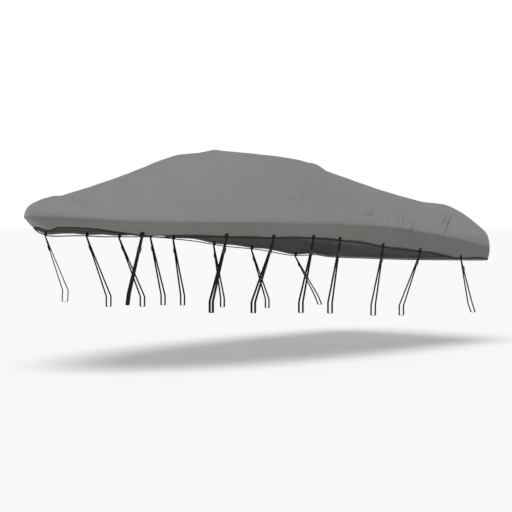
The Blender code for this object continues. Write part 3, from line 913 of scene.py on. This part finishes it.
def stitch_piece(name, middles, runs, normals, length, material):
    """Many stitches, each a slim spindle of thread lying on the cloth."""
    runs = unit(runs)
    ahead = runs * length / 2.0
    aside = unit(np.cross(normals, runs)) * THREAD / 2.0
    out = normals * THREAD / 2.0
    tips = (ahead, aside, out, -aside, -out, -ahead)
    vertices = np.stack([middles + tip for tip in tips], axis=1)
    pattern = np.array(
        ((0, 1, 2), (0, 2, 3), (0, 3, 4), (0, 4, 1), (5, 2, 1), (5, 3, 2), (5, 4, 3), (5, 1, 4))
    )
    faces = (pattern + 6 * np.arange(len(middles))[:, None, None]).reshape(-1, 3)
    return make_piece(name, vertices.reshape(-1, 3), faces, material, sharp=STITCH_SHARP)


def row_of_stitches(points, normals, step, closed):
    """Middles, runs and normals of a row of stitches along a path."""
    if closed:
        points, normals = closed_up(points), closed_up(normals)
    along = along_path(points)
    count = int(along[-1] / step)
    at = (np.arange(count) + 0.5) * along[-1] / count
    ahead = read_along(at + step / 3.0, along, points)
    behind = read_along(at - step / 3.0, along, points)
    return read_along(at, along, points), ahead - behind, unit(read_along(at, along, normals))


def joined(rows):
    """Middles, runs and normals of several rows of stitches together."""
    return [np.concatenate(part) for part in zip(*rows)]


# ---- materials

def fill(node, values):
    """Sets a node's sockets by their names or numbers."""
    for name, value in values.items():
        node.inputs[name].default_value = value


class Shader:
    """A material's nodes, made and linked by short calls."""

    def __init__(self, name, colour, roughness, **settings):
        self.material = bpy.data.materials.new(name)
        self.material.use_nodes = True
        self.tree = self.material.node_tree
        self.surface = self.tree.nodes["Principled BSDF"]
        fill(self.surface, {"Base Color": (*colour, 1.0), "Roughness": roughness})
        fill(self.surface, {name.replace("_", " "): value for name, value in settings.items()})

    def node(self, kind, values=None, **settings):
        made = self.tree.nodes.new(f"ShaderNode{kind}")
        for name, value in settings.items():
            setattr(made, name, value)
        fill(made, values or {})
        return made

    def link(self, source, target):
        self.tree.links.new(source, target)

    def math(self, operation, first, second=0.0):
        made = self.node("Math", operation=operation)
        for socket, value in zip(made.inputs, (first, second)):
            if isinstance(value, (int, float)):
                socket.default_value = value
            else:
                self.link(value, socket)
        return made.outputs[0]

    def noise(self, scale, detail=3.0, roughness=0.5, stretch=None):
        """Cloudy noise through the model, by its clouds to the metre."""
        where = self.node("TexCoord").outputs["Object"]
        if stretch:
            mapping = self.node("Mapping", {"Scale": stretch})
            self.link(where, mapping.inputs["Vector"])
            where = mapping.outputs["Vector"]
        made = self.node("TexNoise", {"Scale": scale, "Detail": detail, "Roughness": roughness})
        self.link(where, made.inputs["Vector"])
        return made.outputs["Fac"]

    def spread(self, source, low, high, bottom=0.3, top=0.7):
        """A measure whose stretch from bottom to top is spread from low to high."""
        ends = {"From Min": bottom, "From Max": top, "To Min": low, "To Max": high}
        made = self.node("MapRange", ends)
        self.link(source, made.inputs["Value"])
        return made.outputs["Result"]

    def shade(self, colour, factors):
        """The base colour scaled by the product of some factors."""
        total = factors[0]
        for factor in factors[1:]:
            total = self.math("MULTIPLY", total, factor)
        made = self.node("VectorMath", {0: colour}, operation="SCALE")
        self.link(total, made.inputs["Scale"])
        self.link(made.outputs["Vector"], self.surface.inputs["Base Color"])

    def dull(self, source, low, high):
        """Roughness from low to high along a measure."""
        self.link(self.spread(source, low, high), self.surface.inputs["Roughness"])

    def bumps(self, layers):
        """Bumps one on another, each a height, its strength and its depth."""
        below = None
        for height, strength, distance in layers:
            made = self.node("Bump", {"Strength": strength, "Distance": distance})
            self.link(height, made.inputs["Height"])
            if below:
                self.link(below, made.inputs["Normal"])
            below = made.outputs["Normal"]
        self.link(below, self.surface.inputs["Normal"])

    def place(self, axis):
        """Metres along one axis of the model."""
        apart = self.node("SeparateXYZ")
        self.link(self.node("TexCoord").outputs["Object"], apart.inputs["Vector"])
        return apart.outputs[axis]

    def cut(self):
        """Metres along and across the cut cloth."""
        where = self.node("UVMap", uv_map="cut")
        apart = self.node("SeparateXYZ")
        self.link(where.outputs["UV"], apart.inputs["Vector"])
        return apart.outputs["X"], apart.outputs["Y"]

    def wave(self, source, pitch):
        """A wave of one pitch along a measure in metres."""
        return self.math("SINE", self.math("MULTIPLY", source, 2.0 * np.pi / pitch))


# How far apart the threads of the cloth, the webbing's ribs and twill and the rope's strands are.
WEAVE_PITCH = 0.0011
RIB_PITCH = 0.0021
TWILL_PITCH = 0.0014
BRAID_PITCH = 0.0045

# The top's cloth and the skirt's, a darker copy with painted shade for its facing down: its colour,
# and how much painted shade darkens it at the bow and aft, each between two places along the boat.
TOP_DUCK = ((0.1813, 0.1815, 0.1745), 0.95, 0.97)
SHADED_CLOTH = ((0.1525, 0.1562, 0.1425), 0.78, 0.82)
BOW_SHADE_SPAN = (-2.26, -1.90)
AFT_SHADE_SPAN = (0.0, 1.7)
GREY_THREAD = (0.19, 0.19, 0.185)
BLACK_WEBBING = (0.008, 0.008, 0.009)
BLACK_ROPE = (0.010, 0.010, 0.011)
BLACK_PLASTIC = (0.011, 0.011, 0.012)
BLACK_THREAD = (0.022, 0.022, 0.023)


def cloth_material(name, colour, at_bow, aft):
    """Coated polyester duck: a fine plain weave, slubs, a soft bloom of dust and faint clouding."""
    shader = Shader(name, colour, 0.82, Sheen_Weight=0.12, Sheen_Roughness=0.5)
    u, v = shader.cut()
    weave = shader.math("MULTIPLY", shader.wave(u, WEAVE_PITCH), shader.wave(v, WEAVE_PITCH))
    slubs = shader.noise(420.0, 2.0, 0.6, stretch=(1.0, 0.12, 0.35))
    clouds = shader.spread(shader.noise(1.6, 4.0, 0.6), 0.97, 1.03)
    dust = shader.spread(shader.noise(9.0, 5.0, 0.65), 0.98, 1.02)
    grain = shader.spread(slubs, 0.965, 1.03)
    threads = shader.spread(weave, 0.95, 1.04, -1.0, 1.0)
    # Painted shade: the cloth is darker towards the bow's tip.
    bow_shade = shader.spread(shader.place("X"), at_bow, 1.0, *BOW_SHADE_SPAN)
    # Painted shade: the cloth is darker towards the stern.
    aft_shaded = shader.spread(shader.place("X"), 1.0, aft, *AFT_SHADE_SPAN)
    shader.shade(colour, (clouds, dust, grain, threads, bow_shade, aft_shaded))
    shader.dull(shader.noise(14.0, 4.0), 0.76, 0.88)
    crumple = shader.noise(26.0, 4.0, 0.55)
    shader.bumps(((crumple, 0.25, 0.0016), (slubs, 0.35, 0.00025), (weave, 0.5, 0.00012)))
    return shader.material


def thread_material(name, colour):
    """Bonded thread, a little glossier than the cloth."""
    shader = Shader(name, colour, 0.55)
    twist = shader.noise(900.0, 2.0)
    shader.shade(colour, (shader.spread(twist, 0.85, 1.1),))
    shader.bumps(((twist, 0.4, 0.0002),))
    return shader.material


def webbing_material():
    """Black polypropylene webbing: ribs across it, a twill between them and pale fuzz."""
    shader = Shader("ribbed_black_webbing", BLACK_WEBBING, 0.75, Specular_IOR_Level=0.12)
    across, along = shader.cut()
    ribs = shader.wave(along, RIB_PITCH)
    twill = shader.wave(shader.math("ADD", across, along), TWILL_PITCH)
    weave = shader.math("ADD", ribs, shader.math("MULTIPLY", twill, 0.5))
    fuzz = shader.noise(260.0, 4.0, 0.7)
    wear = shader.spread(shader.noise(18.0, 4.0, 0.6), 0.8, 1.5)
    threads = shader.spread(weave, 0.7, 1.35, -1.5, 1.5)
    shader.shade(BLACK_WEBBING, (wear, threads, shader.spread(fuzz, 0.8, 1.3)))
    shader.dull(fuzz, 0.65, 0.85)
    shader.bumps(((fuzz, 0.3, 0.0003), (weave, 0.6, 0.00035)))
    return shader.material


def rope_material():
    """Black braided rope: crossing strands, their lows darkened as painted shade and crowns
    lightened.
    """
    shader = Shader("braided_black_rope", BLACK_ROPE, 0.75, Specular_IOR_Level=0.15)
    around, along = shader.cut()
    one = shader.wave(shader.math("ADD", along, around), BRAID_PITCH)
    other = shader.wave(shader.math("SUBTRACT", along, around), BRAID_PITCH)
    braid = shader.math("MAXIMUM", one, other)
    fuzz = shader.noise(300.0, 3.0, 0.7)
    # Painted shade and light: the braid's lows are darker and its crowns lighter.
    shader.shade(
        BLACK_ROPE, (shader.spread(braid, 0.6, 1.5, -0.6, 1.0), shader.spread(fuzz, 0.8, 1.25))
    )
    shader.bumps(((fuzz, 0.3, 0.0003), (braid, 0.7, 0.0006)))
    return shader.material


def plastic_material():
    """Black acetal: a fine spark-eroded grain, with scuffs that dull it in places."""
    shader = Shader("moulded_black_acetal", BLACK_PLASTIC, 0.38)
    grain = shader.noise(1500.0, 2.0, 0.6)
    scuffs = shader.noise(70.0, 5.0, 0.7)
    shader.shade(BLACK_PLASTIC, (shader.spread(scuffs, 0.85, 1.6, 0.45, 0.8),))
    shader.dull(scuffs, 0.34, 0.55)
    shader.bumps(((grain, 0.35, 0.0001), (scuffs, 0.15, 0.0002)))
    return shader.material


# ---- camera and studio

CAMERA_PLACE = (-9.566, -9.05, -0.730)
CAMERA_BEARING = np.radians(48.32)
CAMERA_DIP = np.radians(1.316)
LENS_MM = 94.92
SENSOR_MM = 36.0
SIGHT_REACH = 500.0

WHITE = (1.0, 1.0, 1.0, 1.0)
FLOOR_REACH = 400.0
FLOOR_COLOUR = (0.62, 0.62, 0.62)
FLOOR_ROUGHNESS = 0.9
FLOOR_GLOW = 0.30

# How the surround's brightness goes with the sine of the elevation, from the ground to overhead.
SURROUND = {"From Min": 0.17, "From Max": 0.30, "To Min": 1.02, "To Max": 0.2}
LAMP_STRENGTH = 2.84
LAMP_SOFTNESS = np.radians(40.0)
LAMP_HEIGHT = np.radians(62.0)
LAMP_BEARING = np.radians(67.0)


def aimed(bearing, dip):
    """The rotation of a camera or lamp that looks along a bearing and down by a dip."""
    level = np.cos(dip)
    ahead = Vector((np.sin(bearing) * level, np.cos(bearing) * level, -np.sin(dip)))
    return ahead.to_track_quat("-Z", "Y").to_euler()


def make_camera():
    """A camera a little over a metre above the ground, off the port bow."""
    data = bpy.data.cameras.new("camera")
    data.lens = LENS_MM
    data.sensor_width = SENSOR_MM
    data.clip_end = SIGHT_REACH
    camera = linked("camera", data)
    camera.location = CAMERA_PLACE
    camera.rotation_euler = aimed(CAMERA_BEARING, CAMERA_DIP)
    bpy.context.scene.camera = camera


def make_floor():
    """A plain pale floor without an edge in sight, faintly lit from below as a light table is."""
    mesh = bpy.data.meshes.new("floor")
    far = FLOOR_REACH
    corners = [(-far, -far, GROUND), (far, -far, GROUND), (far, far, GROUND), (-far, far, GROUND)]
    mesh.from_pydata(corners, [], [(0, 1, 2, 3)])
    shader = Shader("pale_floor", FLOOR_COLOUR, FLOOR_ROUGHNESS, Emission_Strength=FLOOR_GLOW)
    fill(shader.surface, {"Emission Color": WHITE})
    mesh.materials.append(shader.material)
    floor = linked("floor", mesh)


def make_surround():
    """A white surround near the ground that dims overhead, and one broad soft light from above."""
    world = bpy.data.worlds.new("studio")
    world.use_nodes = True
    tree = world.node_tree
    background = tree.nodes["Background"]
    where = tree.nodes.new("ShaderNodeTexCoord")
    apart = tree.nodes.new("ShaderNodeSeparateXYZ")
    fade = tree.nodes.new("ShaderNodeMapRange")
    fade.interpolation_type = "SMOOTHSTEP"
    fill(fade, SURROUND)
    tree.links.new(where.outputs["Generated"], apart.inputs["Vector"])
    tree.links.new(apart.outputs["Z"], fade.inputs["Value"])
    tree.links.new(fade.outputs["Result"], background.inputs["Strength"])
    fill(background, {"Color": WHITE})
    bpy.context.scene.world = world
    data = bpy.data.lights.new("overhead", "SUN")
    data.energy = LAMP_STRENGTH
    data.angle = LAMP_SOFTNESS
    lamp = linked("overhead", data)
    lamp.rotation_euler = aimed(LAMP_BEARING, LAMP_HEIGHT)
    bpy.context.scene.view_settings.view_transform = "Standard"


# ---- the whole


def make_cloths(curves, thread):
    """The top and the skirt, with the stitches of the seam between them and of the hem."""
    top = top_grid(curves)
    aft_shaded = cloth_material("top_grey_duck", *TOP_DUCK)
    top_cloth = sheet_piece("top_cloth", top, aft_shaded, TOP_SHARP)
    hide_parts("top_panel")

    skirt = skirt_grid(curves)
    # The skirt's cloth is darker than the top's as painted shade for its facing down under the seam.
    shaded = cloth_material("shaded_grey_duck", *SHADED_CLOTH)
    skirt_cloth = sheet_piece("skirt_cloth", skirt, shaded, SKIRT_SHARP)
    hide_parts("skirt_panel")

    normals = grid_normals(top)
    rows = []
    for ring, other, part in LAP_STITCHES:
        points = top[ring] + (top[other] - top[ring]) * part + normals[2] * STITCH_LIFT
        rows.append(row_of_stitches(points, normals[2], CLOTH_STITCH_STEP, True))
    seam_stitches = stitch_piece("seam_stitching", *joined(rows), CLOTH_STITCH, thread)

    outward = -grid_normals(skirt)
    depth = np.linalg.norm(skirt[0] - skirt[SKIRT_RINGS - 1], axis=-1)
    place = (1.0 - HEM_STITCHES_RISE / depth) * (SKIRT_RINGS - 1)
    ring = np.clip(place.astype(int), 0, SKIRT_RINGS - 2)
    column = np.arange(skirt.shape[1])
    part = (place - ring)[:, None]
    points = skirt[ring, column] * (1.0 - part) + skirt[ring + 1, column] * part
    facing = outward[ring, column]
    row = row_of_stitches(points + facing * STITCH_LIFT, facing, CLOTH_STITCH_STEP, True)
    hem_stitches = stitch_piece("hem_stitching", *row, CLOTH_STITCH, thread)


def make_tie_downs(webbing, plastic, thread):
    """Each tab with its sewing, its strap and its buckle."""
    buckle_mesh = make_buckle_mesh(plastic)
    tab_line = tab_path()
    leg = tab_line[0, 1] + WEBBING / 2.0
    for name, side in SIDES:
        sewing = []
        for number, tab in enumerate(TABS):
            hem, axes = side_place(tab, side)
            path = hem + tab_line @ axes
            across = np.tile(axes[0], (len(path), 1))
            rings = webbing_rings(path, across, TAB_WIDTH, closed=False)
            piece = tube_piece(f"{name}_tab_webbing_{number + 1}", rings, webbing, closed=False)
            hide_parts(f"{name}_tab_{number + 1}")

            sizes = (TIE_DOWNS[column][number] for column in ("rail_in", "rail_top", "aft"))
            points, widths, buckle = strap_path(hem, axes, side, *sizes)
            line, widths = bent_path(points, widths)
            rings = webbing_rings(line, widths, STRAP_WIDTH, closed=True)
            piece = tube_piece(f"{name}_strap_webbing_{number + 1}", rings, webbing, closed=True)
            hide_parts(f"{name}_strap_{number + 1}")

            piece = linked(f"{name}_side_release_{number + 1}", buckle_mesh.copy())
            turned = [buckle[0] + np.array(vertex.co) @ buckle[1] for vertex in piece.data.vertices]
            piece.data.vertices.foreach_set("co", np.ravel(turned))
            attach(piece, "root")
            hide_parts(f"{name}_buckle_{number + 1}")
            sewing.append(tab_sewing(hem, axes, leg))
        piece = stitch_piece(f"{name}_tab_stitching", *joined(sewing), TAB_STITCH, thread)


def tab_sewing(hem, axes, leg):
    """A row of stitches down each side of a tab's face and a bar of stitches over the strap's end."""
    rows = []
    outer = leg + STITCH_LIFT
    strap = outer + FIT + WEBBING * 2.0 + LAP_NOTCH + FIT
    edge = TAB_WIDTH / 2.0 - TAB_ROW_INSET
    low, high = TAB_ROW_SPAN
    lines = [((at, outer, low), (at, outer, high)) for at in (-edge, edge)]
    half = BAR_OF_STITCHES / 2.0
    lines += [((-half, strap, height), (half, strap, height)) for height in BAR_HEIGHTS]
    for line in lines:
        facing = np.tile(axes[1], (2, 1))
        rows.append(row_of_stitches(hem + line @ axes, facing, TAB_STITCH_STEP, False))
    return joined(rows)


def main():
    """The whole scene."""
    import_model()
    make_camera()
    make_floor()
    make_surround()
    webbing = webbing_material()
    curves = side_curves(column_places())
    flatten_at_tabs(curves)
    make_cloths(curves, thread_material("grey_thread", GREY_THREAD))
    make_rope(curves, rope_material())
    make_tie_downs(webbing, plastic_material(), thread_material("black_thread", BLACK_THREAD))


main()
